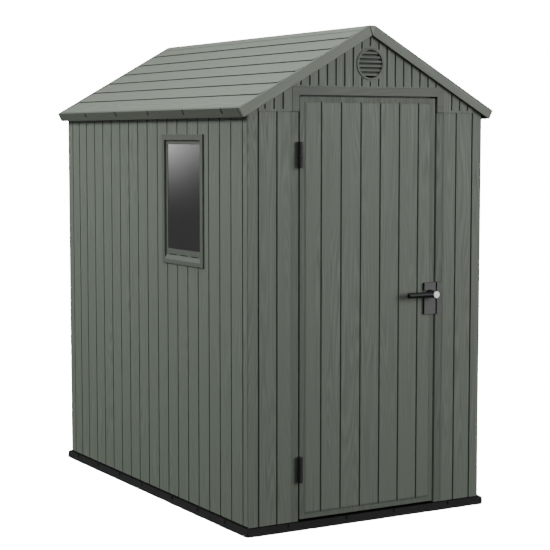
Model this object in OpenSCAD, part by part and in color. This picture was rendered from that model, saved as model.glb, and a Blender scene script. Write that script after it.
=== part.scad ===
// Moulded resin tool shed with a gabled roof, one hinged door and one side window.
// X runs along the front, Y from the front to the rear and Z up. The origin is on the
// ground at the middle of the base. All sizes are in millimetres.

/* [Walls] */
// Width over the side walls
wall_w = 1156; // [1000:1:1500]
// Depth over the front and rear walls
wall_d = 1818; // [1500:1:2400]
// Thickness of a wall panel
wall_t = 20; // [16:1:26]
// Height of the joint between the end wall panels and the gables
seam_z = 1705.5; // [1690:0.5:1800]
// Joint between the front and rear halves of the base and side walls, behind the middle
joint_y = 3; // [-30:1:30]
// How far the gables stand out from the wall panels
gable_proud = 3; // [1:0.5:4]
// Width of a corner post on the front and rear walls
post_end_leg = 51; // [36:1:70]
// Width of a front corner post on the side walls
post_side_leg = 38; // [30:1:60]
// Width of a rear corner post on the side walls
post_rear_leg = 60; // [30:1:70]
// Radius of the outer edge of a corner post
post_r = 5; // [4:1:15]

/* [Planks] */
// Plank width on the side and rear walls
side_plank = 96.5; // [70:0.5:130]
// First plank of the rear side panels, beside the middle joint
joint_plank = 98; // [80:1:130]
// Last plank of the rear side panels, beside the rear post
edge_plank = 82; // [60:1:120]
// Plank width on the front wall
front_plank = 85; // [70:1:110]
// Plank width on the gables
gable_plank = 41.5; // [30:0.5:60]
// Plank width on the door
door_plank = 95.7; // [70:0.1:130]
// First plank of the door, beside the hinge stile
door_first_plank = 80; // [60:1:110]
// Width of the groove between planks
groove_w = 7; // [4:0.5:10]
// Depth of the groove between planks
groove_d = 5; // [3:0.5:7]
// Plain margin between a gable groove and the edge below it
groove_stop = 9; // [4:1:20]

/* [Base] */
// Height of the base rim
base_h = 34; // [26:1:60]
// Rim beyond the side walls, at the ground
base_side = 17; // [12:1:40]
// Rim beyond the front and rear walls, at the ground
base_end = 24; // [14:1:50]
// How far the rim leans in from the ground to its top
base_flare = 8; // [1:1:8]
// Rise of the ledge from the top of the rim to the side walls
side_rise = 5; // [1:1:8]
// Radius of the base corners
base_r = 18; // [8:1:40]
// Height of the inside floor
deck_z = 28; // [24:1:32]
// Height of the ledge that the wall panels stand on
seat_z = 22; // [12:1:23]
// Spacing of the anchor notches along the sides of the rim
anchor_pitch = 244; // [150:1:400]
// First anchor notch of the rear half of the rim, behind the middle
anchor_rear = 61; // [40:1:120]
// First anchor notch of the front half of the rim, before the middle
anchor_front = 249; // [60:1:300]
// Anchor notches of the front and rear rims, from the middle
end_anchors = [119, 401]; // [60:1:520]

/* [Roof] */
// Slope of the roof in degrees
pitch = 29.25; // [20:0.25:36]
// Height of the top edge of the eaves
eave_z = 1717; // [1706:1:1800]
// Eaves beyond the side walls
eave_out = 46; // [36:1:90]
// Bargeboards beyond the front and rear walls
verge_out = 19.5; // [17:0.5:60]
// Thickness of a roof panel
roof_t = 20; // [14:1:26]
// Plank width down the roof
roof_plank = 95.3; // [70:0.1:140]
// Lowest plank of the roof, beside the eave
eave_plank = 118; // [60:1:160]
// Step between one roof plank and the next
roof_step = 4.5; // [2:0.5:6]
// Height of the bargeboards and fascias, square to the slope
barge_h = 42.5; // [36:0.5:80]
// Thickness of the bargeboards and fascias
barge_t = 12; // [8:1:15]
// Width of the flat along the ridge
ridge_flat = 30; // [16:1:60]
// Reach of the ridge cap down each slope
cap_reach = 58; // [40:1:90]
// Thickness of the ridge cap
cap_t = 6; // [4:0.5:8]
// Gap between the bargeboards and the planks and fascias beside them
verge_gap = 7; // [4:1:12]
// Spacing of the clip slots along the fascias
clip_pitch = 341; // [200:1:500]
// First clip slot, from the front of the fascia
clip_first = 146; // [60:1:300]

/* [Door] */
// Width of the door opening
door_open_w = 678.5; // [560:0.5:740]
// Height of the top of the door opening
door_open_z = 1771.5; // [1730:0.5:1790]
// Gap around the door leaf
door_gap = 6; // [5:0.5:8]
// Thickness of the door leaf
door_t = 22; // [18:1:26]
// Width of the stiles and rails that show around the door planks
stile_w = 20; // [14:1:40]
// How far the door planks stand out from the stiles
field_step = 3; // [1:0.5:4]
// Width of the sloping edge of the planks beside a plain strip
slope_w = 9; // [4:1:12]
// Width of the plain jamb and header band
jamb_w = 33; // [32:1:50]
// Depth of the jamb face below the wall planks
jamb_step = 3; // [1:0.5:5]
// Depth of the jambs and header through the wall
jamb_d = 42; // [38:1:60]
// Lap of the door stop behind the leaf
stop_lap = 12; // [8:1:25]

/* [Hinges] */
// Height of a hinge
hinge_h = 106; // [80:1:140]
// Middle of the lower hinge
hinge_low_z = 249; // [150:1:400]
// Middle of the upper hinge
hinge_high_z = 1532; // [1200:1:1600]
// Radius of a hinge knuckle
knuckle_r = 10.5; // [8:0.5:12]
// Radius of a hinge pin
pin_r = 4; // [3:0.5:5]
// Thickness of a hinge leaf
leaf_t = 2; // [1.5:0.5:3]

/* [Lock] */
// Height of the lever axis
lock_z = 940; // [800:1:1100]
// Distance of the lever axis from the edge of the leaf
lock_inset = 27; // [24:1:40]
// Width of the lock case
case_w = 58; // [52:1:80]
// Height of the lock case and of the keeper
case_h = 134; // [110:1:180]
// How far the lock case stands out from the wall
case_proud = 12; // [10:1:18]
// Width of the keeper on the jamb
keeper_w = 26; // [18:1:31]
// Radius of the lever bar
lever_r = 11.5; // [8:0.5:13]
// Length of the lever from its axis to its tip
lever_l = 134; // [100:1:180]
// Distance of the lever bar from the wall
lever_out = 42; // [36:1:60]
// Radius of the lock cap
cap_r = 15; // [11:0.5:15]

/* [Window] */
// Width over the window flange
win_w = 384; // [300:1:480]
// Height over the window flange
win_h = 557; // [400:1:600]
// Middle of the window, from the front of the walls
win_from_front = 561; // [300:1:600]
// Height of the bottom of the window flange
win_z = 1058; // [900:1:1080]
// Width of the window flange
flange_w = 25; // [18:1:40]
// Height of the window flange below the sill
sill_lip = 18; // [12:1:24]
// How far the window flange stands out from the wall
flange_proud = 7; // [4:1:12]
// Thickness of the window collar in the wall
collar_t = 6; // [4:1:10]
// Width of the inner frame around the glass
sash_w = 17.5; // [12:0.5:26]
// Height of the bottom rail of the inner frame, above the sill
rail_h = 28; // [20:1:36]
// Thickness of the window glass
glass_t = 4; // [3:1:6]

/* [Vent] */
// Height of the middle of the gable vents
vent_z = 1902.5; // [1880:0.5:1910]
// Outer radius of the vent ring
vent_r = 66.5; // [50:0.5:70]
// Width of the vent ring
ring_w = 9; // [6:0.5:14]
// How far the vent ring stands out from the gable
vent_proud = 4; // [2:1:8]
// Spacing of the louvre blades
blade_pitch = 17.8; // [12:0.1:24]
// Height of the upright nose of a louvre blade
blade_nose = 9.5; // [6:0.5:11]
// Depth of the leaning flap behind the nose
blade_w = 10; // [6:0.5:14]
// Thickness of a louvre blade
blade_t = 2.5; // [2:0.5:4]
// Lean of a louvre blade, in degrees from level
blade_lean = 42; // [25:1:60]

/* [Hidden] */
$fn = 64;
fit = 0.5;       // free play of a panel foot in its channel
pin_fit = 0.08;  // radial clearance of a pin in its bore
seam = 0.5;      // joint between two pieces that butt together
touch = 0.1;     // hairline between two faces that lie against each other
move_gap = 5;    // clearance kept around a piece that moves
over = 10;       // how far a cutting shape runs past a face
threshold_d = 75;   // depth of the threshold, from the face of the front wall
lock_ease = 4;      // eased edge of the jamb on the lock side
header_margin = 1.5;  // header band beyond the width of the jambs
pin_out = 1.5;      // hinge pin from the edge of the door opening
hinge_cover = 3;    // door thickness left behind a hinge leaf
knuckle_gap = 1;    // gap between the knuckles of a hinge and behind them

// Roof lines. Heights along the slope are worked out from the plane of the bargeboards.
half_w = wall_w / 2 + eave_out;
roof_d = wall_d + 2 * verge_out;
apex_z = eave_z + half_w * tan(pitch);
ridge_z = apex_z - ridge_flat / 2 * tan(pitch);
slope_l = half_w / cos(pitch);
panel_d = roof_d - 2 * barge_t;
panel_l = slope_l - barge_t - touch;
valley_z = apex_z - barge_h / cos(pitch);

// Walls and posts
front_y = -wall_d / 2;
post_x = wall_w / 2 - post_end_leg;
side_front_y = front_y + post_side_leg;
side_rear_y = wall_d / 2 - post_rear_leg;
wall_top = eave_z + over;
gable_y = front_y - gable_proud;
gable_t = wall_t + gable_proud;

// Door
door_w = door_open_w - 2 * door_gap;
door_z = base_h + door_gap;
door_top = door_open_z - door_gap;
jamb_x = door_open_w / 2;
jamb_y = front_y + jamb_step;
door_y = jamb_y;
field_y = door_y - field_step;
door_back = door_y + door_t;
hinge_back = door_back - hinge_cover;
stop_y = door_back + move_gap;
header_top = door_open_z + jamb_w + header_margin;
pin_x = -jamb_x + pin_out;
pin_y = front_y - knuckle_r - knuckle_gap;
knuckle_h = (hinge_h - 2 * knuckle_gap) / 3;
lock_x = door_w / 2 - lock_inset;
lock_case_y = front_y - case_proud;

// Window
win_y = front_y + win_from_front;
pane_w = win_w - 2 * flange_w - 2 * sash_w;
sill_z = win_z + 2 * sill_lip;
pane_z = sill_z + rail_h;
pane_top = win_z + win_h - flange_w - sash_w;
hole_w = win_w - 2 * flange_w + 2 * collar_t;
hole_z = win_z + flange_w - collar_t;
hole_h = win_h - 2 * flange_w + 2 * collar_t;
sash_x = -wall_w / 2 + 1.75;
glass_x = sash_x + 1.5;
glass_lap = 6;   // glass held behind the sash all round

WALL = "#6f7a6e";
TRIM = "#666f64";
ROOF = "#969e93";
BLACK = "#2a2a2a";
STEEL = "#c8c8c4";

// Point on the roof section: s down the slope from the apex, n square to it and out.
function slope_pt(s, n) = [s * cos(pitch) + n * sin(pitch), apex_z - s * sin(pitch) + n * cos(pitch)];
// Height of the underside of the roof panels at a distance from the middle.
function under_z(x) = apex_z - roof_t / cos(pitch) - abs(x) * tan(pitch);
// Height of what bears against that underside.
function bearing_z(x) = under_z(x) - touch;

// A section in X and Z, extruded along Y between two places.
module run_y(y0, y1) {
    translate([0, y1, 0]) rotate([90, 0, 0]) linear_extrude(y1 - y0) children();
}

// A box between two corners.
module block(low, high) {
    translate(low) cube(high - low);
}

// A rounded upright slab centred on the origin.
module round_slab(w, d, r, h) {
    translate([-w / 2 + r, -d / 2, 0]) cube([w - 2 * r, d, h]);
    translate([-w / 2, -d / 2 + r, 0]) cube([w, d - 2 * r, h]);
    for (x = [-1, 1], y = [-1, 1])
        translate([x * (w / 2 - r), y * (d / 2 - r), 0]) cylinder(r = r, h = h);
}

// The space under the roof panels, which trims the tops of the walls.
module under_roof() {
    run_y(-wall_d, wall_d)
        polygon([[-wall_w, 0], [wall_w, 0], [wall_w, bearing_z(wall_w)], [0, bearing_z(0)],
                 [-wall_w, bearing_z(wall_w)]]);
}

// ---- Base ----

// Section of the rim: upright at the middle, leaning in to its top.
module rim_section(w) {
    polygon([[-w / 2, 0], [w / 2, 0], [w / 2 - base_flare, base_h], [-w / 2 + base_flare, base_h]]);
}

module base_outline() {
    w = wall_w + 2 * base_side;
    d = wall_d + 2 * base_end;
    intersection() {
        run_y(-d, d) rim_section(w);
        rotate([0, 0, 90]) run_y(-w, w) rim_section(d);
        round_slab(w, d, base_r, base_h);
    }
}

// Ledge that slopes up from the rim to a side wall.
module side_ledge() {
    edge = wall_w / 2 + base_side - base_flare;
    run_y(front_y, -front_y)
        polygon([[wall_w / 2 - wall_t, base_h - over], [edge, base_h - over], [edge, base_h],
                 [wall_w / 2, base_h + side_rise], [wall_w / 2 - wall_t, base_h + side_rise]]);
}

// Channel for the feet of the wall panels and jambs, open at the doorway.
module foot_channel() {
    translate([0, 0, seat_z]) difference() {
        round_slab(wall_w + 2 * fit, wall_d + 2 * fit, post_r + fit, base_h);
        block([-wall_w / 2 + wall_t + fit, front_y + wall_t + fit, -over],
              [wall_w / 2 - wall_t - fit, -front_y - wall_t - fit, 2 * base_h]);
        block([-jamb_x + fit, front_y - over, -over], [jamb_x - fit, 0, 2 * base_h]);
    }
    for (side = [0, 1]) mirror([side, 0, 0]) {
        block([jamb_x - fit, front_y - fit, seat_z],
              [jamb_x + jamb_w + fit, front_y + jamb_d + fit, base_h + over]);
        block([jamb_x - door_gap - stop_lap - fit, stop_y - fit, seat_z],
              [jamb_x, front_y + jamb_d + fit, base_h + over]);
    }
}

// A shallow notch with a rounded foot, cut back from the top edge of the rim along -Y.
module anchor_notch() {
    r = 6;
    depth = 3;
    foot = base_h - 15;
    translate([0, depth, foot + r]) rotate([90, 0, 0]) cylinder(r = r, h = depth + over);
    block([-r, -over, foot + r], [r, depth, base_h + over]);
}

module anchor_notches() {
    last = wall_d / 2 - base_r;
    edge_x = wall_w / 2 + base_side - base_flare;
    edge_y = wall_d / 2 + base_end - base_flare;
    for (side = [-1, 1], y = concat([for (y = anchor_rear; y < last; y = y + anchor_pitch) y],
                                    [for (y = -anchor_front; y > -last; y = y - anchor_pitch) y]))
        translate([side * edge_x, y, 0]) rotate([0, 0, side * 90]) anchor_notch();
    for (end = [0, 1], x = concat(end_anchors, -end_anchors))
        mirror([0, end, 0]) translate([x, -edge_y, 0]) anchor_notch();
}

// One half of the base: rim, ledge, deck and threshold.
module base_half(y0, y1) {
    inner_w = wall_w / 2 - wall_t - fit;
    inner_y = -front_y - wall_t - fit;
    color(BLACK) difference() {
        intersection() {
            union() {
                base_outline();
                side_ledge();
                mirror([1, 0, 0]) side_ledge();
            }
            block([-wall_w, y0, -over], [wall_w, y1, base_h + over]);
        }
        foot_channel();
        anchor_notches();
        // The deck lies a little below the rim and the threshold.
        block([-inner_w, front_y + threshold_d, deck_z], [inner_w, inner_y, base_h + over]);
    }
}

module floor_front() { base_half(-wall_d, joint_y - seam / 2); }
module floor_rear() { base_half(joint_y + seam / 2, wall_d); }

// ---- Wall panels ----

// Outline of one face of a plank panel: a half groove at each end and a groove at each
// place in gs. The face is at y = face and the panel lies on the side that dir points to.
function grooved_edge(len, gs, face, dir) = concat(
    [[0, face + dir * groove_d], [groove_w / 4, face + dir * groove_d], [groove_w / 2, face]],
    [for (g = gs, p = [[-groove_w / 2, 0], [-groove_w / 4, groove_d], [groove_w / 4, groove_d],
                       [groove_w / 2, 0]]) [g + p.x, face + dir * p.y]],
    [[len - groove_w / 2, face], [len - groove_w / 4, face + dir * groove_d],
     [len, face + dir * groove_d]]);

function reversed(list) = [for (i = [len(list) - 1 : -1 : 0]) list[i]];

// Places of the grooves: the first, then one each pitch until less than room is left.
function groove_run(len, first, pitch, room) = [for (g = first; g < len - room; g = g + pitch) g];

// A plank panel that runs along X, with its outer face at y = 0, grooved on both faces.
module plank_panel(run, z0, z1, gs) {
    translate([0, 0, z0]) linear_extrude(z1 - z0)
        polygon(concat(grooved_edge(run, gs, 0, 1), reversed(grooved_edge(run, gs, wall_t, -1))));
}

// Places children that run along X with depth to +Y onto a side wall.
module on_side(side, y0) {
    translate([side * wall_w / 2, y0, 0]) mirror([side < 0 ? 1 : 0, 0, 0]) rotate([0, 0, 90])
        children();
}

module side_front_panel(side) {
    run = joint_y - seam / 2 - side_front_y;
    color(WALL) intersection() {
        on_side(side, side_front_y)
            plank_panel(run, seat_z, wall_top, groove_run(run, side_plank, side_plank, side_plank / 2));
        under_roof();
    }
}

module side_rear_panel(side) {
    run = side_rear_y - joint_y - seam / 2;
    full = groove_run(run, joint_plank, side_plank, edge_plank * 1.5);
    color(WALL) intersection() {
        on_side(side, joint_y + seam / 2)
            plank_panel(run, seat_z, wall_top, concat(full, [run - edge_plank]));
        under_roof();
    }
}

module left_wall_front() {
    difference() {
        side_front_panel(-1);
        block([-wall_w, win_y - hole_w / 2, hole_z], [0, win_y + hole_w / 2, hole_z + hole_h]);
    }
}
module left_wall_rear() { side_rear_panel(-1); }
module right_wall_front() { side_front_panel(1); }
module right_wall_rear() { side_rear_panel(1); }

module rear_panel(side) {
    run = post_x - seam / 2;
    gs = groove_run(run, side_plank, side_plank, side_plank / 2);
    color(WALL) mirror([side < 0 ? 1 : 0, 0, 0])
        translate([seam / 2, wall_d / 2, 0]) mirror([0, 1, 0]) plank_panel(run, seat_z, seam_z, gs);
}
module rear_wall_left() { rear_panel(-1); }
module rear_wall_right() { rear_panel(1); }

// A front panel in plan: planks, the plain jamb beside them and the stop behind the door.
// The edge of the jamb is eased on the lock side.
module front_panel(side) {
    run = post_x - jamb_x - jamb_w;
    gs = groove_run(run, front_plank, front_plank, front_plank / 2);
    // Depths below the face of the planks.
    rebate = stop_y - front_y;
    lap = door_gap + stop_lap;
    ease = side > 0 ? lock_ease : 1;
    outer = grooved_edge(run, gs, 0, 1);
    inner = reversed(grooved_edge(run, gs, wall_t, -1));
    planks = [for (p = outer) if (p.x < run - groove_w / 2) p];
    back = [for (p = inner) if (p.x < run - groove_w / 2) p];
    profile = concat(planks,
        [[run - slope_w, 0], [run, jamb_step], [run + jamb_w - ease, jamb_step],
         [run + jamb_w, jamb_step + 1.5 * ease], [run + jamb_w, rebate], [run + jamb_w + lap, rebate], [run + jamb_w + lap, jamb_d],
         [run, jamb_d], [run, wall_t]],
        back);
    color(WALL) mirror([side > 0 ? 1 : 0, 0, 0])
        translate([-post_x, front_y, seat_z]) linear_extrude(seam_z - seat_z) polygon(profile);
}
module front_wall_left() {
    difference() {
        front_panel(-1);
        hinge_mortise(hinge_low_z);
        hinge_mortise(hinge_high_z);
    }
}
module front_wall_right() { front_panel(1); }

// ---- Corner posts ----

// An angle in plan with half a groove at the end of each leg.
module post_section(end_leg, side_leg) {
    g = [[groove_w / 2, 0], [groove_w / 4, groove_d], [0, groove_d]];
    polygon(concat([[0, 0]], [for (p = g) [end_leg - p.x, p.y]],
                   [[end_leg, wall_t - groove_d], [end_leg - groove_w / 2, wall_t],
                    [wall_t, wall_t], [wall_t, side_leg - groove_w / 2],
                    [wall_t - groove_d, side_leg]],
                   [for (p = reversed(g)) [p.y, side_leg - p.x]]));
}

module post(side, end, side_leg) {
    color(WALL) intersection() {
        mirror([side > 0 ? 1 : 0, 0, 0]) mirror([0, end > 0 ? 1 : 0, 0])
            translate([-wall_w / 2, front_y, seat_z]) linear_extrude(wall_top)
                post_section(post_end_leg, side_leg);
        round_slab(wall_w, wall_d, post_r, 2 * wall_top);
        under_roof();
    }
}
module post_front_left() { post(-1, -1, post_side_leg); }
module post_front_right() { post(1, -1, post_side_leg); }
module post_rear_left() { post(-1, 1, post_rear_leg); }
module post_rear_right() { post(1, 1, post_rear_leg); }

// ---- Gables, header and vents ----

// Grooves of a gable, from z0 up, that stop short of the vent.
module gable_grooves(x0, x1, z0) {
    n = ceil(post_x / gable_plank);
    ring_margin = 6;
    difference() {
        for (k = [-n : n]) {
            x = k * gable_plank;
            if (abs(x) > x0 && abs(x) < x1)
                translate([x, gable_y, z0]) linear_extrude(apex_z)
                    polygon([[-groove_w / 2, -1], [-groove_w / 2, 0], [-groove_w / 4, groove_d],
                             [groove_w / 4, groove_d], [groove_w / 2, 0], [groove_w / 2, -1]]);
        }
        translate([0, gable_y - over, vent_z]) rotate([-90, 0, 0])
            cylinder(r = vent_r + ring_margin, h = 3 * over);
    }
}

module gable_plate(foot) {
    run_y(gable_y, gable_y + gable_t)
        polygon(concat(foot, [[post_x, bearing_z(post_x)], [0, bearing_z(0)],
                              [-post_x, bearing_z(post_x)]]));
}

module vent_hole() {
    translate([0, gable_y - over, vent_z]) rotate([-90, 0, 0])
        cylinder(r = vent_r - ring_w / 2 + fit, h = wall_d / 8);
}

header_x = jamb_x + jamb_w;

module front_gable() {
    color(WALL) difference() {
        gable_plate([[-post_x, seam_z], [-header_x, seam_z], [-header_x, header_top],
                     [header_x, header_top], [header_x, seam_z], [post_x, seam_z]]);
        gable_grooves(-1, header_x - groove_w, header_top + groove_stop / 2);
        gable_grooves(header_x + groove_w, post_x - groove_w, seam_z + groove_stop);
        vent_hole();
    }
}

module rear_gable() {
    color(WALL) mirror([0, 1, 0]) difference() {
        gable_plate([[-post_x, seam_z], [post_x, seam_z]]);
        gable_grooves(-1, post_x - groove_w, seam_z + groove_stop);
        vent_hole();
    }
}

// Plain band over the door, with legs that run down to the jambs and a stop behind.
module door_header() {
    header_proud = 1.5;
    lap = door_gap + stop_lap;
    color(TRIM) difference() {
        block([-header_x, gable_y - header_proud, seam_z],
              [header_x, front_y + jamb_d, header_top]);
        block([-jamb_x, gable_y - over, seam_z - over], [jamb_x, stop_y, door_open_z]);
        block([-jamb_x + lap, gable_y - over, seam_z - over],
              [jamb_x - lap, 0, door_open_z - lap]);
    }
}

// Round louvre: a flanged ring with leaning blades across it.
module vent() {
    bore_r = vent_r - ring_w;
    depth = gable_t + vent_proud;
    blades = floor(2 * bore_r / blade_pitch);
    blade_z = function (k) (k - (blades - 1) / 2) * blade_pitch;
    color(TRIM) translate([0, gable_y - vent_proud, vent_z]) {
        rotate([-90, 0, 0]) difference() {
            union() {
                cylinder(r = vent_r, h = vent_proud);
                cylinder(r = vent_r - ring_w / 2, h = depth);
            }
            translate([0, 0, -1]) cylinder(r = bore_r, h = depth + 2);
        }
        intersection() {
            for (k = [0 : blades - 1])
                translate([0, 0, blade_z(k)]) blade();
            rotate([-90, 0, 0]) cylinder(r = bore_r + ring_w / 4, h = depth);
        }
    }
}

// A louvre blade: an upright nose with its edges eased and a flap that leans up behind it.
module blade() {
    set_back = 4;
    nose_t = 4;
    ease = 1;
    top = blade_nose / 2;
    rise = blade_w * tan(blade_lean);
    drop = blade_t / cos(blade_lean);
    translate([-vent_r, set_back, 0]) rotate([90, 0, 90]) linear_extrude(2 * vent_r)
        polygon([[0, ease - top], [ease, -top], [nose_t, -top], [nose_t, top - drop],
                 [nose_t + blade_w, top - drop + rise], [nose_t + blade_w, top + rise], [nose_t, top],
                 [ease, top], [0, top - ease]]);
}
module front_vent() { vent(); }
module rear_vent() { mirror([0, 1, 0]) vent(); }

// ---- Window ----

// A ring in the left wall between two widths and heights, given by insets from the flange.
module win_ring(x0, x1, out, inset) {
    difference() {
        block([x0, win_y - win_w / 2 + out, win_z + out],
              [x1, win_y + win_w / 2 - out, win_z + win_h - out]);
        block([x0 - over, win_y - win_w / 2 + inset, win_z + inset],
              [x1 + over, win_y + win_w / 2 - inset, win_z + win_h - inset]);
    }
}

module window_frame() {
    wall_x = -wall_w / 2;
    collar_out = flange_w - collar_t + fit;
    inner_x = wall_x + wall_t + 3;
    sash_back = glass_x + glass_t;
    // Length and height of a drain slot, and how the slots are spaced along the sill.
    slot = [62, 4];
    slot_pitch = 102.5;
    half = win_w / 2 - flange_w;
    color(TRIM) difference() {
        union() {
            win_ring(wall_x - flange_proud, wall_x, 0, flange_w);
            win_ring(wall_x, inner_x, collar_out, flange_w);
            win_ring(sash_x, sash_back, flange_w - 1, flange_w + sash_w);
            // Deep bottom rail of the sash.
            block([sash_x, win_y - half, win_z + flange_w], [sash_back, win_y + half, pane_z]);
            // Sill that sheds water in front of it.
            block([wall_x - flange_proud, win_y - half, win_z + collar_out],
                  [sash_back, win_y + half, sill_z]);
        }
        translate([0, win_y + half, 0]) rotate([90, 0, 0]) linear_extrude(2 * half)
            polygon([[wall_x - flange_proud, win_z + sill_lip], [sash_x, sill_z],
                     [sash_x, sill_z + over], [wall_x - flange_proud - over, sill_z + over],
                     [wall_x - flange_proud - over, win_z + sill_lip]]);
        // Rebate for the glass.
        block([glass_x, win_y - pane_w / 2 - glass_lap, pane_z - glass_lap],
              [sash_back + over, win_y + pane_w / 2 + glass_lap, pane_top + glass_lap]);
        // Drain slots along the foot of the sash.
        for (k = [-1 : 1])
            block([sash_x - 1, win_y + k * slot_pitch - slot.x / 2, sill_z + 1],
                  [sash_x + 2, win_y + k * slot_pitch + slot.x / 2, sill_z + 1 + slot.y]);
    }
}

module window_glass() {
    edge = glass_lap - fit;
    color([0.2, 0.2, 0.22, 0.6])
        block([glass_x, win_y - pane_w / 2 - edge, pane_z - edge],
              [glass_x + glass_t, win_y + pane_w / 2 + edge, pane_top + edge]);
}

// ---- Roof ----

// Section of a roof panel: lapped planks on top, a plain underside, and a rebate at the
// ridge that the cap lies in.
module roof_section() {
    lowest = slope_l - eave_plank;
    first = lowest - floor((lowest - cap_reach) / roof_plank) * roof_plank;
    edges = concat([for (s = first - roof_plank; s < lowest + 1; s = s + roof_plank) s], [slope_l]);
    // Height of the sawtooth at s, below the plane of the bargeboards.
    rise = function (s, k) roof_step * (s - edges[k]) / (edges[k + 1] - edges[k]) - roof_step;
    planks = [for (k = [0 : len(edges) - 2])
        let (a = max(edges[k], cap_reach), b = min(edges[k + 1], panel_l))
        for (p = [[a, rise(a, k)], [b, rise(b, k)]]) slope_pt(p[0], p[1])];
    ridge_x = seam / 2;
    polygon(concat([[ridge_x, ridge_z - cap_t], cap_shoulder, slope_pt(cap_reach, -cap_t)], planks,
                   [slope_pt(panel_l, -roof_t), [ridge_x, under_z(ridge_x)]]));
}

// Where the underside of the ridge cap turns from the slope to the flat.
cap_shoulder = [ridge_flat / 2 - cap_t * tan(pitch / 2), ridge_z - cap_t];

// Roof panel with a groove down each end, where the planks meet the bargeboards.
module roof_panel(side) {
    groove = -roof_step - 4;
    color(ROOF) mirror([side < 0 ? 1 : 0, 0, 0]) difference() {
        run_y(-panel_d / 2, panel_d / 2) roof_section();
        for (end = [0, 1]) mirror([0, end, 0]) run_y(-roof_d, -panel_d / 2 + verge_gap)
            polygon([slope_pt(cap_reach, groove), slope_pt(cap_reach, over),
                     slope_pt(slope_l + over, over), slope_pt(slope_l + over, groove)]);
    }
}
module roof_left() { roof_panel(-1); }
module roof_right() { roof_panel(1); }

// Ridge cap along the panels, with a wedge at each end between the bargeboards.
module ridge_cap() {
    wedge_proud = 3;
    edge = slope_pt(cap_reach - touch, 0);
    foot = slope_pt(cap_reach - touch, -cap_t + touch);
    color(TRIM) {
        run_y(-panel_d / 2, panel_d / 2)
            polygon([[-edge[0], edge[1]], [-ridge_flat / 2, ridge_z], [ridge_flat / 2, ridge_z], edge,
                     foot, cap_shoulder + [0, touch], [-cap_shoulder.x, cap_shoulder.y + touch],
                     [-foot[0], foot[1]]]);
        for (end = [0, 1]) mirror([0, end, 0]) run_y(-roof_d / 2 - wedge_proud, -panel_d / 2)
            polygon([[-ridge_flat / 2, ridge_z], [ridge_flat / 2, ridge_z], [0, valley_z]]);
    }
}

module fascia(side) {
    slot = [14, 26, 4];
    half_d = panel_d / 2 - verge_gap;
    color(TRIM) mirror([side < 0 ? 1 : 0, 0, 0]) difference() {
        run_y(-half_d, half_d)
            polygon([slope_pt(slope_l - barge_t, 0), slope_pt(slope_l, 0),
                     slope_pt(slope_l, -barge_h), slope_pt(slope_l - barge_t, -barge_h)]);
        for (y = [-panel_d / 2 + clip_first : clip_pitch : panel_d / 2 - slot.x])
            translate([half_w, y, eave_z]) rotate([0, pitch, 0])
                block([-slot.z, -slot.x / 2, -slot.y], [over, slot.x / 2, over]);
    }
}
module fascia_left() { fascia(-1); }
module fascia_right() { fascia(1); }

// Bargeboard from the eave to the wedge at the ridge, square-cut at the eave.
module bargeboard(side, end) {
    top = [ridge_flat / 2 + seam, ridge_z - seam * tan(pitch)];
    low = [seam, valley_z - seam * tan(pitch)];
    color(TRIM) mirror([side < 0 ? 1 : 0, 0, 0]) mirror([0, end > 0 ? 1 : 0, 0])
        run_y(-roof_d / 2, -panel_d / 2)
            polygon([top, slope_pt(slope_l, 0), slope_pt(slope_l, -barge_h), low]);
}
module bargeboard_front_left() { bargeboard(-1, -1); }
module bargeboard_front_right() { bargeboard(1, -1); }
module bargeboard_rear_left() { bargeboard(-1, 1); }
module bargeboard_rear_right() { bargeboard(1, 1); }

// ---- Door ----

// Raised planks of the door, with sloping edges down to the stiles and rails.
module door_field(x, z0, z1) {
    intersection() {
        translate([0, 0, z0]) linear_extrude(z1 - z0)
            polygon([[-x, door_y], [slope_w - x, field_y], [x - slope_w, field_y], [x, door_y],
                     [x, door_y + 1], [-x, door_y + 1]]);
        translate([-x, 0, 0]) rotate([90, 0, 90]) linear_extrude(2 * x)
            polygon([[door_y, z0], [field_y, z0 + slope_w], [field_y, z1 - slope_w], [door_y, z1],
                     [door_y + 1, z1], [door_y + 1, z0]]);
    }
}

module door_leaf() {
    half = door_w / 2;
    field_x = half - stile_w;
    field_z = door_z + stile_w;
    field_top = door_top - stile_w;
    gs = groove_run(2 * field_x, door_first_plank, door_plank, stile_w);
    color(WALL) difference() {
        union() {
            block([-half, door_y, door_z], [half, door_back, door_top]);
            door_field(field_x, field_z, field_top);
        }
        // Inside, the planks lie below the stiles and rails.
        block([-field_x, door_back - field_step, field_z], [field_x, door_back + over, field_top]);
        for (g = gs)
            translate([-field_x + g, field_y, field_z]) linear_extrude(field_top - field_z)
                polygon([[-groove_w / 2, -1], [-groove_w / 2, 0], [-groove_w / 4, groove_d],
                         [groove_w / 4, groove_d], [groove_w / 2, 0], [groove_w / 2, -1]]);
        hinge_mortise(hinge_low_z);
        hinge_mortise(hinge_high_z);
    }
}

// Recess for one pair of hinge leaves, cut into the jamb and into the edge of the leaf.
module hinge_mortise(z) {
    block([-jamb_x - leaf_t, front_y - over, z - hinge_h / 2 - fit],
          [-door_w / 2 + leaf_t, hinge_back, z + hinge_h / 2 + fit]);
}

// Knuckle with its two edges eased.
module knuckle(z, h) {
    ease = 1;
    translate([pin_x, pin_y, z]) {
        cylinder(r1 = knuckle_r - ease, r2 = knuckle_r, h = ease);
        translate([0, 0, ease]) cylinder(r = knuckle_r, h = h - 2 * ease);
        translate([0, 0, h - ease]) cylinder(r1 = knuckle_r, r2 = knuckle_r - ease, h = ease);
    }
}

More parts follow.
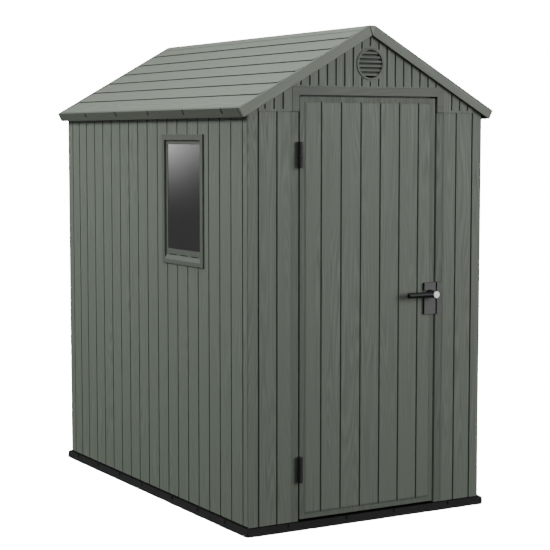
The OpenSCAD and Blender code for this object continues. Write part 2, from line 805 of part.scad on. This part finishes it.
// Jamb side of a hinge: leaf in its mortise, two outer knuckles and the pin.
module hinge_jamb(mid) {
    z0 = mid - hinge_h / 2;
    color(BLACK) {
        for (z = [z0, mid + hinge_h / 2 - knuckle_h]) {
            knuckle(z, knuckle_h);
            block([-jamb_x - leaf_t, pin_y, z], [-jamb_x, hinge_back, z + knuckle_h]);
        }
        block([-jamb_x - leaf_t, jamb_y, z0], [-jamb_x, hinge_back, z0 + hinge_h]);
        translate([pin_x, pin_y, z0 + 1]) cylinder(r = pin_r, h = hinge_h - 2);
    }
}

// Door side of a hinge: leaf in its mortise and the middle knuckle, bored for the pin.
module hinge_door(mid) {
    z0 = mid - hinge_h / 2;
    edge = -door_w / 2;
    color(BLACK) difference() {
        union() {
            knuckle(mid - knuckle_h / 2, knuckle_h);
            block([edge, pin_y + pin_r + 2, mid - knuckle_h / 2],
                  [edge + leaf_t, hinge_back, mid + knuckle_h / 2]);
            block([edge, door_y, z0], [edge + leaf_t, hinge_back, z0 + hinge_h]);
        }
        translate([pin_x, pin_y, z0]) cylinder(r = pin_r + pin_fit, h = hinge_h);
    }
}
module hinge_upper_jamb() { hinge_jamb(hinge_high_z); }
module hinge_upper_door() { hinge_door(hinge_high_z); }
module hinge_lower_jamb() { hinge_jamb(hinge_low_z); }
module hinge_lower_door() { hinge_door(hinge_low_z); }

// ---- Lock ----

// The case and keeper hang a little below the lever axis.
case_z = lock_z - 19;
spindle_r = 6;
hub_r = 16;
recess_d = 8;
channel_r = 18;
channel = [-13, 17];   // foot and top of the channel, from the lever axis

// Plate in X and Z with rounded corners, standing out from y1 to y0.
module plate(x0, x1, h, y0, y1, r) {
    translate([(x0 + x1) / 2, y1, case_z]) rotate([90, 0, 0])
        round_slab(x1 - x0, h, r, y1 - y0);
}

// Case on the door: a plate with a channel across it that the lever turns in.
module lock_case() {
    x1 = door_w / 2;
    x0 = x1 - case_w;
    half_field = x1 - stile_w;
    color(BLACK) difference() {
        plate(x0, x1, case_h, lock_case_y, door_y, 3);
        // The case fits round the sloping edge of the planks.
        door_field(half_field, door_z + stile_w, door_top - stile_w);
        block([x0 - over, lock_case_y - over, lock_z + channel[0]],
              [lock_x, lock_case_y + recess_d, lock_z + channel[1]]);
        translate([lock_x, lock_case_y + recess_d, lock_z]) rotate([90, 0, 0])
            cylinder(r = channel_r, h = recess_d + over);
        translate([lock_x, door_y, lock_z]) rotate([90, 0, 0])
            cylinder(r = spindle_r + pin_fit, h = case_proud + over);
    }
}

// Lever with its spindle, hub and bar, eased at the tip.
module lever() {
    hub_back = lock_case_y + recess_d - 1;
    bar_y = front_y - lever_out;
    tip_ease = 2.5;
    color(BLACK) {
        translate([lock_x, field_y - 1, lock_z]) rotate([90, 0, 0])
            cylinder(r = spindle_r, h = field_y - 1 - bar_y);
        translate([lock_x, hub_back, lock_z]) rotate([90, 0, 0])
            cylinder(r = hub_r, h = hub_back - bar_y + lever_r);
        translate([lock_x, bar_y, lock_z]) rotate([0, -90, 0]) {
            cylinder(r = lever_r, h = lever_l - tip_ease);
            translate([0, 0, lever_l - tip_ease])
                cylinder(r1 = lever_r, r2 = lever_r - tip_ease, h = tip_ease);
        }
    }
}

// Round lock cap on the face of the hub.
module lock_cap() {
    hub_face = front_y - lever_out - lever_r;
    color(STEEL) translate([lock_x, hub_face, lock_z]) rotate([90, 0, 0]) {
        cylinder(r = cap_r, h = 3);
        translate([0, 0, 3]) cylinder(r1 = cap_r, r2 = cap_r - 1, h = 1);
    }
}

// Keeper on the jamb, level with the lock case.
module keeper() {
    x0 = jamb_x + 1;
    color(BLACK) plate(x0, x0 + keeper_w, case_h, lock_case_y, jamb_y, 3);
}

floor_front();
floor_rear();
post_front_left();
post_front_right();
post_rear_left();
post_rear_right();
left_wall_front();
left_wall_rear();
right_wall_front();
right_wall_rear();
front_wall_left();
front_wall_right();
rear_wall_left();
rear_wall_right();
front_gable();
rear_gable();
door_header();
front_vent();
rear_vent();
window_frame();
window_glass();
roof_left();
roof_right();
ridge_cap();
fascia_left();
fascia_right();
bargeboard_front_left();
bargeboard_front_right();
bargeboard_rear_left();
bargeboard_rear_right();
door_leaf();
lock_case();
lever();
lock_cap();
keeper();
hinge_upper_jamb();
hinge_upper_door();
hinge_lower_jamb();
hinge_lower_door();
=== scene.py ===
import bpy, math
from mathutils import Matrix, Vector


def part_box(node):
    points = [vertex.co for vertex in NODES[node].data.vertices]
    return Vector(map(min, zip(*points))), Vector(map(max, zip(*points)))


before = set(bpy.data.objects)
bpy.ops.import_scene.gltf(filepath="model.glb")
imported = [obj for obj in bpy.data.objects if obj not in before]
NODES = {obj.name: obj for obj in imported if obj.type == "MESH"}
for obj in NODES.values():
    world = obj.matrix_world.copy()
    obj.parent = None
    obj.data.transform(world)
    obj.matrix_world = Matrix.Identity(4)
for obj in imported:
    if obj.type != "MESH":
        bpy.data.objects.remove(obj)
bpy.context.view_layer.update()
PITCH = math.radians(29.25)      # of the roof
QUARTER = math.radians(90)
SKIN = (0.012, 0.016)            # deeper than any groove, and short of the inner faces


# ---- Node helpers ----

class Graph:
    """A material's nodes, built by short calls."""

    def __init__(self, name):
        self.mat = bpy.data.materials.new(name)
        self.mat.use_nodes = True
        self.tree = self.mat.node_tree
        self.tree.nodes.clear()
        self.out = self.add("ShaderNodeOutputMaterial")
        self.bsdf = self.add("ShaderNodeBsdfPrincipled")
        self.link(self.bsdf, "BSDF", self.out, "Surface")

    def add(self, kind, **props):
        n = self.tree.nodes.new(kind)
        for k, v in props.items():
            setattr(n, k, v)
        return n

    def link(self, a, out, b, into):
        self.tree.links.new(a.outputs[out], b.inputs[into])

    def put(self, socket, value):
        """A number or colour, or a (node, output) pair, into a socket."""
        if isinstance(value, tuple) and len(value) == 2 and hasattr(value[0], "outputs"):
            self.tree.links.new(value[0].outputs[value[1]], socket)
        else:
            socket.default_value = value

    def math(self, op, a, b=0.0):
        n = self.add("ShaderNodeMath", operation=op)
        for s, v in zip(n.inputs, (a, b)):
            self.put(s, v)
        return (n, 0)

    def coords(self, rotate=(0, 0, 0)):
        t = self.add("ShaderNodeTexCoord")
        m = self.add("ShaderNodeMapping")
        m.inputs["Rotation"].default_value = rotate
        self.link(t, "Object", m, "Vector")
        return (m, 0)

    def axes(self, which="Object"):
        """The frame's own coordinates, or with "Normal" the surface's normal, split in three."""
        t = self.add("ShaderNodeTexCoord")
        split = self.add("ShaderNodeSeparateXYZ")
        self.link(t, which, split, "Vector")
        return split

    def stretch(self, vec, scale):
        m = self.add("ShaderNodeMapping")
        m.inputs["Scale"].default_value = scale
        self.put(m.inputs["Vector"], vec)
        return (m, 0)

    def noise(self, vec, scale, detail, rough):
        n = self.add("ShaderNodeTexNoise")
        self.put(n.inputs["Vector"], vec)
        n.inputs["Scale"].default_value = scale
        n.inputs["Detail"].default_value = detail
        n.inputs["Roughness"].default_value = rough
        return (n, 0)

    def span(self, value, lo, hi, to_lo=0.0, to_hi=1.0, smooth=False):
        n = self.add("ShaderNodeMapRange")
        n.interpolation_type = "SMOOTHSTEP" if smooth else "LINEAR"
        self.put(n.inputs[0], value)
        for i, v in enumerate((lo, hi, to_lo, to_hi)):
            n.inputs[i + 1].default_value = v
        return (n, 0)

    def mix(self, fac, a, b, mode="MIX"):
        n = self.add("ShaderNodeMix", data_type="RGBA", blend_type=mode)
        self.put(n.inputs[0], fac)
        for s, v in ((n.inputs[6], a), (n.inputs[7], b)):
            self.put(s, v)
        return (n, 2)

    def within(self, xs, zs, ys=None, blur=0.003):
        """1 where the distance from the middle, the height and the depth are in these ranges."""
        axes = self.axes()
        mask = 1.0
        sides = [(self.math("ABSOLUTE", (axes, 0)), xs), ((axes, 2), zs)]
        if ys:
            sides.append(((axes, 1), ys))
        for value, (lo, hi) in sides:
            mask = self.math("MULTIPLY", mask, self.span(value, lo - blur, lo + blur))
            mask = self.math("MULTIPLY", mask, self.span(value, hi - blur, hi + blur, 1.0, 0.0))
        return mask

    def sunk(self, half_x, half_y, near=0.0012, full=0.0042):
        """1 in the grooves: 0 on the outer faces of the walls, rising from near to full
        below them, and 0 again on the inner faces."""
        axes = self.axes()
        dx = self.math("SUBTRACT", half_x, self.math("ABSOLUTE", (axes, 0)))
        dy = self.math("SUBTRACT", half_y, self.math("ABSOLUTE", (axes, 1)))
        depth = self.math("MINIMUM", dx, dy)
        outer = self.span(depth, *SKIN, 1.0, 0.0)
        return self.math("MULTIPLY", self.span(depth, near, full), outer)

    def facing(self, axis, lo, hi):
        """0 where the surface's normal along an axis is lo, changing to 1 where it is hi."""
        return self.span((self.axes("Normal"), axis), lo, hi)

    def bump(self, height, distance, strength):
        n = self.add("ShaderNodeBump")
        self.put(n.inputs["Height"], height)
        n.inputs["Distance"].default_value = distance
        n.inputs["Strength"].default_value = strength
        return (n, 0)


def rgb(r, g, b, k=1.0):
    return (r * k, g * k, b * k, 1.0)


def times(g, base, k):
    """A colour with each channel multiplied by k."""
    return g.mix(1.0, base, rgb(k, k, k), "MULTIPLY")


# ---- Resin with a moulded wood grain ----

def grained(name, colour, rotate=(0, 0, 0), depth=0.0005, contrast=1.0, rough=0.5, planks=None,
            faces=None, groove_shade=0.36, dark=(), risers=False):
    """Moulded resin whose grain runs along Z after rotate, with growth-ring figure,
    fine fibres and a slow drift of tone. Outside the planks, ((x, x), (z, z)) measured
    from the middle, it is painted darker, as shade on recessed strips and rails. The
    grooves cut into the outer faces, (x, y) from the middle, are painted in shade. The
    places in dark, and the risers that face down, are painted in deep shade."""
    g = Graph(name)
    co = g.coords(rotate)
    long_co = g.stretch(co, (1.0, 1.0, 0.055))
    fibre_co = g.stretch(co, (1.0, 1.0, 0.02))
    figure = g.noise(long_co, 9.0, 2.0, 0.45)
    rings = g.math("SINE", g.math("MULTIPLY", figure, 190.0))
    rings = g.span(rings, -1.0, 1.0)
    fibre = g.noise(fibre_co, 420.0, 5.0, 0.65)
    strand = g.noise(fibre_co, 120.0, 3.0, 0.6)
    drift = g.noise(co, 3.0, 2.0, 0.5)
    speck = g.noise(co, 900.0, 2.0, 0.5)
    grain = g.math("ADD", g.math("MULTIPLY", rings, 0.35), g.math("MULTIPLY", fibre, 0.75))
    grain = g.math("ADD", grain, g.math("MULTIPLY", strand, 0.7))
    tone = g.span(grain, 0.55, 1.25, 0.0, 1.0)
    low, high = 1.0 - 0.20 * contrast, 1.0 + 0.15 * contrast
    base = g.mix(tone, rgb(*colour, low), rgb(*colour, high))
    base = g.mix(g.span(drift, 0.3, 0.7), base, rgb(*[c * 0.96 for c in colour]))
    # Painted deep shade in the places in dark.
    for mask in dark:
        base = g.mix(g.within(*mask), base, times(g, base, GAP))
    # Painted deep shade on the risers that face down.
    if risers:
        base = g.mix(g.facing(2, *RISER), base, times(g, base, GAP))
    # Painted shade in the grooves cut into the outer faces.
    if faces:
        sunk = g.sunk(*faces)
        if planks:
            sunk = g.math("MULTIPLY", sunk, g.within(*planks))
        base = g.mix(sunk, base, times(g, base, groove_shade))
    # Painted shade on the recessed strips and rails outside the planks.
    if planks:
        base = g.mix(g.within(*planks), times(g, base, STRIP_SHADE), base)
    g.put(g.bsdf.inputs["Base Color"], base)
    g.put(g.bsdf.inputs["Roughness"], g.span(tone, 0.0, 1.0, rough + 0.1, rough - 0.04))
    g.bsdf.inputs["Specular IOR Level"].default_value = 0.35
    h = g.math("ADD", grain, g.math("MULTIPLY", speck, 0.12))
    g.put(g.bsdf.inputs["Normal"], g.bump(h, depth, 1.0))
    return g.mat


def moulded(name, colour, depth=0.0002, rough=0.45, spec=0.4, shaded=None):
    """Plain moulded resin with a fine grained skin and slight handling wear. shaded is
    (axis, lo, hi, k), painted shade: where the normal along that axis is lo the colour
    is k times as strong, and where it is hi it is whole."""
    g = Graph(name)
    co = g.coords()
    skin = g.noise(co, 700.0, 3.0, 0.6)
    drift = g.noise(co, 12.0, 3.0, 0.55)
    base = g.mix(g.span(drift, 0.3, 0.7), rgb(*colour, 0.9), rgb(*colour, 1.12))
    base = g.mix(g.span(skin, 0.55, 0.75), base, rgb(*colour, 1.25))
    # Painted shade, set by which way the surface faces.
    if shaded:
        axis, lo, hi, k = shaded
        base = g.mix(g.facing(axis, lo, hi), times(g, base, k), base)
    g.put(g.bsdf.inputs["Base Color"], base)
    g.put(g.bsdf.inputs["Roughness"], g.span(skin, 0.3, 0.7, rough - 0.05, rough + 0.1))
    g.bsdf.inputs["Specular IOR Level"].default_value = spec
    g.put(g.bsdf.inputs["Normal"], g.bump(skin, depth, 0.8))
    return g.mat


# Base colours, scene-linear. The fascia and the right bargeboards are painted darker, as shade.
WALL = (0.155, 0.183, 0.149)
TRIM = (0.121, 0.139, 0.116)
ROOF = (0.229, 0.262, 0.222)
FASCIA_SHADED = (0.142, 0.163, 0.135)
BARGE_L = (0.197, 0.224, 0.188)
BARGE_R_SHADED = (0.179, 0.205, 0.171)

STRIP_SHADE = 0.80           # painted shade: tone left on the recessed strips and rails outside the planks
GAP = 0.12             # what is left of a tone in painted deep shade
RISER = (0.55, 0.25)   # upward part of the normal: a roof face, a riser between two, which is painted in deep shade
FIELD = 0.024          # from the edge of the leaf to the slope of its planks
JAMB = 0.375           # from the middle to the slope of the front planks
GRAIN = 1.35           # contrast of the grain on the walls and the door
GROOVE = (0.0004, 0.0018)   # depth where the painted shade in a panel's groove starts, and is darkest
EVERY_Z = (-1.0, 3.0)       # from below the base to above the ridge

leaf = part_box("door_leaf")
walls = (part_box("right_wall_front")[1][0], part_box("rear_wall_left")[1][1])
# The door and the front walls: their recessed strips and rails are painted darker as shade.
door = grained("door_resin", WALL, contrast=GRAIN, faces=walls,
               planks=((-1, leaf[1][0] - FIELD), (leaf[0][2] + FIELD, leaf[1][2] - FIELD)))
front = grained("front_resin", WALL, contrast=GRAIN, faces=walls,
                planks=((JAMB, 2.0), EVERY_Z))
# The corner posts and the walls have painted shade in their grooves.
post = grained("post_resin", WALL, contrast=GRAIN, faces=walls, groove_shade=0.20)
# The two panels of a side wall meet at a joint near the middle, painted in deep shade.
joint = (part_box("left_wall_front")[1][1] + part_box("left_wall_rear")[0][1]) / 2
seam = ((0.5, 1.0), EVERY_Z, (joint - 0.002, joint + 0.002), 0.001)
wall = grained("wall_resin", WALL, contrast=GRAIN, faces=walls + GROOVE, groove_shade=0.20,
               dark=(seam,))
along_y = (QUARTER, 0, 0)
# The roof: the risers between its planks are painted in deep shade.
roof = grained("roof_resin", ROOF, along_y, contrast=0.8, risers=True)
trim_x = grained("trim_resin_x", TRIM, (0, QUARTER, 0), depth=0.0003, contrast=0.5)
ridge = grained("ridge_resin", ROOF, along_y, depth=0.0003, contrast=0.6)
# The fascia is painted darker than the bargeboards, as shade on its downward face.
fascia = grained("fascia_resin", FASCIA_SHADED, along_y, depth=0.0003, contrast=0.6)
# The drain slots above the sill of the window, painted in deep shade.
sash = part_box("window_glass")[0][0]
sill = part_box("window_frame")[0][2] + 0.036
slots = ((0.0, -sash + 0.0007), (sill + 0.0007, sill + 0.0053), None, 0.0002)
# The window frame is painted darker than the trim, as shade from the eave.
trim_z = grained("trim_resin_z", tuple(0.93 * c for c in TRIM), depth=0.0003, contrast=0.5,
                 dark=(slots,))
# Bargeboards: grain along the slope; the right pair is painted darker than the left, as shade.
barge_l = grained("barge_resin_left", BARGE_L, (0, QUARTER + PITCH, 0), depth=0.0004)
barge_r = grained("barge_resin_right", BARGE_R_SHADED, (0, QUARTER - PITCH, 0), depth=0.0004)
# Painted shade: the base's top is painted darker than its upright faces, and the lock
# plates' sides darker than their fronts.
base_resin = moulded("base_resin", (0.0245, 0.0245, 0.0250), rough=0.65, spec=0.06,
                     shaded=(2, 0.75, 0.35, 0.15))
black_resin = moulded("black_resin", (0.024, 0.024, 0.025), rough=0.42)
lever_resin = moulded("lever_resin", (0.011, 0.011, 0.0115), rough=0.48)
plate_resin = moulded("plate_resin", (0.105, 0.105, 0.107), rough=0.5,
                      shaded=(1, -0.6, -0.9, 0.12))


def metal():
    g = Graph("lock_metal")
    co = g.coords()
    scratch = g.noise(g.stretch(co, (40.0, 40.0, 900.0)), 1.0, 3.0, 0.6)
    g.put(g.bsdf.inputs["Base Color"],
          g.mix(scratch, rgb(0.60, 0.60, 0.58), rgb(0.78, 0.78, 0.76)))
    g.bsdf.inputs["Metallic"].default_value = 0.85
    g.put(g.bsdf.inputs["Roughness"], g.span(scratch, 0.2, 0.8, 0.38, 0.55))
    return g.mat


def glazing():
    g = Graph("window_glass")
    co = g.coords()
    haze = g.noise(co, 6.0, 3.0, 0.5)
    g.put(g.bsdf.inputs["Base Color"],
          g.mix(haze, rgb(0.055, 0.055, 0.056), rgb(0.064, 0.064, 0.065)))
    g.put(g.bsdf.inputs["Roughness"], g.span(haze, 0.3, 0.7, 0.05, 0.10))
    g.bsdf.inputs["Specular IOR Level"].default_value = 0.5
    g.bsdf.inputs["Alpha"].default_value = 0.82
    return g.mat


steel = metal()
glass = glazing()

FINISH = {
    post: ["post_front_left", "post_front_right", "post_rear_left", "post_rear_right"],
    wall: ["left_wall_front", "left_wall_rear", "right_wall_front", "right_wall_rear",
           "rear_wall_left", "rear_wall_right", "front_gable", "rear_gable"],
    front: ["front_wall_left", "front_wall_right"],
    door: ["door_leaf"],
    roof: ["roof_left", "roof_right"],
    trim_x: ["door_header", "front_vent", "rear_vent"],
    ridge: ["ridge_cap"],
    fascia: ["fascia_left", "fascia_right"],
    trim_z: ["window_frame"],
    barge_l: ["bargeboard_front_left", "bargeboard_rear_left"],
    barge_r: ["bargeboard_front_right", "bargeboard_rear_right"],
    base_resin: ["floor_front", "floor_rear"],
    black_resin: ["hinge_upper_jamb", "hinge_upper_door", "hinge_lower_jamb", "hinge_lower_door"],
    lever_resin: ["lever"],
    plate_resin: ["lock_case", "keeper"],
    steel: ["lock_cap"],
    glass: ["window_glass"],
}
for mat, names in FINISH.items():
    for n in names:
        o = NODES[n]
        if not o.material_slots:
            o.data.materials.append(mat)
        for s in o.material_slots:
            s.material = mat


# ---- Softened edges on the moulded pieces ----

def soften(name, width, segments=2, angle=30):
    """Rounds the sharp edges of a node by a bevel of this width."""
    o = NODES[name]
    w = o.modifiers.new("weld", "WELD")
    w.merge_threshold = 0.00002      # metres
    b = o.modifiers.new("bevel", "BEVEL")
    b.width = width
    b.segments = segments
    b.limit_method = "ANGLE"
    b.angle_limit = math.radians(angle)
    b.harden_normals = True


EASED = {
    "floor_front": 0.002, "floor_rear": 0.002, "door_leaf": 0.001, "door_header": 0.0015,
    "window_frame": 0.0012, "fascia_left": 0.0012, "fascia_right": 0.0012,
    "bargeboard_front_left": 0.002, "bargeboard_front_right": 0.002,
    "bargeboard_rear_left": 0.002, "bargeboard_rear_right": 0.002,
    "front_wall_left": 0.001, "front_wall_right": 0.001, "front_gable": 0.001,
    "lock_case": 0.0018, "keeper": 0.003,
}
for n, w in EASED.items():
    soften(n, w)


# ---- Stage, light and camera ----

GROUND = 24.0                # side of the ground, metres
GROUND_WHITE = 45.0          # paints it as white as the backdrop
GROUND_FADES = (1.6, 6.0)    # distance from the middle
BACKDROP = 16.0
SKY = (-0.15, 0.25, 0.0, 0.165)    # height of a ray from, to; strength from, to
PANE = (-0.573, -0.344, 1.33)      # middle of the window

def unseen(o, *kinds):
    """Hides an object from these kinds of ray."""
    for k in kinds:
        setattr(o, "visible_" + k, False)


def card(name, size):
    """A flat square of the stage, centred on its origin."""
    me = bpy.data.meshes.new(name)
    s = size / 2
    me.from_pydata([(-s, -s, 0), (s, -s, 0), (s, s, 0), (-s, s, 0)], [], [(0, 1, 2, 3)])
    o = bpy.data.objects.new(name, me)
    bpy.context.collection.objects.link(o)
    return o


def stage_floor():
    """Pale ground that fades into the backdrop and throws no light back on the shed."""
    o = card("ground", GROUND)
    m = bpy.data.materials.new("ground_paint")
    m.use_nodes = True
    t = m.node_tree
    t.nodes.clear()
    out = t.nodes.new("ShaderNodeOutputMaterial")
    paint = t.nodes.new("ShaderNodeBsdfDiffuse")
    paint.inputs["Color"].default_value = (GROUND_WHITE,) * 3 + (1,)
    clear = t.nodes.new("ShaderNodeBsdfTransparent")
    mix = t.nodes.new("ShaderNodeMixShader")
    co = t.nodes.new("ShaderNodeTexCoord")
    far = t.nodes.new("ShaderNodeVectorMath")
    far.operation = "LENGTH"
    ramp = t.nodes.new("ShaderNodeMapRange")
    ramp.interpolation_type = "SMOOTHSTEP"
    for i, v in enumerate(GROUND_FADES + (0.0, 1.0)):
        ramp.inputs[i + 1].default_value = v
    t.links.new(co.outputs["Object"], far.inputs[0])
    t.links.new(far.outputs["Value"], ramp.inputs[0])
    t.links.new(ramp.outputs[0], mix.inputs[0])
    t.links.new(paint.outputs[0], mix.inputs[1])
    t.links.new(clear.outputs[0], mix.inputs[2])
    t.links.new(mix.outputs[0], out.inputs["Surface"])
    o.data.materials.append(m)
    unseen(o, "diffuse", "glossy", "transmission")


def toward(o, target):
    """Turns a light or a card to face a point."""
    o.rotation_euler = (Vector(target) - o.location).to_track_quat("-Z", "Y").to_euler()


def area(name, target, way, far, size, power):
    """A square light of this size and power, far away from the target along way."""
    d = bpy.data.lights.new(name, "AREA")
    d.shape = "SQUARE"
    d.size = size
    d.energy = power
    o = bpy.data.objects.new(name, d)
    bpy.context.collection.objects.link(o)
    o.location = Vector(target) + Vector(way).normalized() * far
    toward(o, target)
    unseen(o, "camera")


def sheen_card():
    """A soft card that only mirror-like faces see: it gives the window its pale top."""
    o = card("sheen_card", 1.6)
    o.location = (-2.82, 4.11, 1.13)
    toward(o, PANE)
    g = Graph("sheen_paint")
    g.tree.nodes.remove(g.bsdf)
    glow = g.add("ShaderNodeEmission")
    place = g.add("ShaderNodeTexCoord")
    axes = g.add("ShaderNodeSeparateXYZ")
    g.link(place, "Object", axes, "Vector")
    rise = g.math("POWER", g.span((axes, 1), -0.22, 0.41), 3.0)
    rise = g.math("MULTIPLY", rise, g.span((axes, 1), 0.45, 0.75, 1.0, 0.0, True))
    across = g.span((axes, 0), -0.12, 0.12, 1.0, 0.38)
    across = g.math("MULTIPLY", across, g.span((axes, 0), -0.5, -0.2, 0.0, 1.0, True))
    across = g.math("MULTIPLY", across, g.span((axes, 0), 0.25, 0.6, 1.0, 0.0, True))
    g.put(glow.inputs["Strength"], g.math("MULTIPLY", g.math("MULTIPLY", rise, across), 5.0))
    g.link(glow, "Emission", g.out, "Surface")
    o.data.materials.append(g.mat)
    unseen(o, "camera", "diffuse", "transmission", "shadow")


stage_floor()
sheen_card()
area("key_front", (0.3, -0.9, 1.0), (0.48, -0.80, 0.22), 8.0, 4.7, 402)
area("fill_front", (-0.5, -0.9, 1.0), (-0.30, -0.90, 0.10), 9.0, 5.0, 100)
area("key_left", (-0.57, 0.2, 1.0), (-0.75, 0.30, 0.55), 8.0, 3.2, 598)
area("low_left", (-0.57, 0.3, 1.6), (-1.0, 0.35, -0.10), 5.0, 1.6, 20)
area("back_right", (0.3, 0.6, 1.0), (0.72, 0.68, 0.04), 8.0, 2.6, 210)
area("roof_front", (-0.3, -0.9, 1.9), (-0.25, -0.10, 1.0), 2.4, 1.2, 48)

world = bpy.data.worlds.new("studio")
bpy.context.scene.world = world
world.use_nodes = True
nt = world.node_tree
nt.nodes.clear()
wo = nt.nodes.new("ShaderNodeOutputWorld")
seen = nt.nodes.new("ShaderNodeBackground")
seen.inputs["Color"].default_value = (1, 1, 1, 1)
seen.inputs["Strength"].default_value = BACKDROP
# The fill comes from above; it fades out below the horizon.
fill = nt.nodes.new("ShaderNodeBackground")
fill.inputs["Color"].default_value = (1, 1, 1, 1)
tc = nt.nodes.new("ShaderNodeTexCoord")
sep = nt.nodes.new("ShaderNodeSeparateXYZ")
sky = nt.nodes.new("ShaderNodeMapRange")
sky.interpolation_type = "SMOOTHSTEP"
for i, v in enumerate(SKY):
    sky.inputs[i + 1].default_value = v
nt.links.new(tc.outputs["Generated"], sep.inputs[0])
nt.links.new(sep.outputs["Z"], sky.inputs[0])
nt.links.new(sky.outputs[0], fill.inputs["Strength"])
lp = nt.nodes.new("ShaderNodeLightPath")
mx = nt.nodes.new("ShaderNodeMixShader")
nt.links.new(lp.outputs["Is Camera Ray"], mx.inputs[0])
nt.links.new(fill.outputs[0], mx.inputs[1])
nt.links.new(seen.outputs[0], mx.inputs[2])
nt.links.new(mx.outputs[0], wo.inputs["Surface"])

# Camera: azimuth 30.1 degrees to the left of the front, 5.1 degrees above level.
AZ, EL = math.radians(-30.119), math.radians(5.066)
AIM = Vector((-0.002, -0.005, 1.006))
FAR, ASIDE, BELOW = 7.260995, 0.065587, 0.042419      # metres
SENSOR = 36.0                                         # millimetres
FOCAL, WIDTH = 1560.339, 550.0                        # focal length and picture, pixels
back = Vector((math.sin(AZ) * math.cos(EL), -math.cos(AZ) * math.cos(EL), math.sin(EL)))
right = (-back).cross(Vector((0, 0, 1))).normalized()
up = right.cross(-back)
data = bpy.data.cameras.new("camera")
data.sensor_width = SENSOR
data.lens = FOCAL * SENSOR / WIDTH
data.dof.use_dof = False
data.clip_end = 200.0
camera = bpy.data.objects.new("camera", data)
bpy.context.collection.objects.link(camera)
place = AIM + back * FAR + right * ASIDE - up * BELOW
camera.matrix_world = Matrix((
    (right.x, up.x, back.x, place.x), (right.y, up.y, back.y, place.y),
    (right.z, up.z, back.z, place.z), (0, 0, 0, 1)))
bpy.context.scene.camera = camera
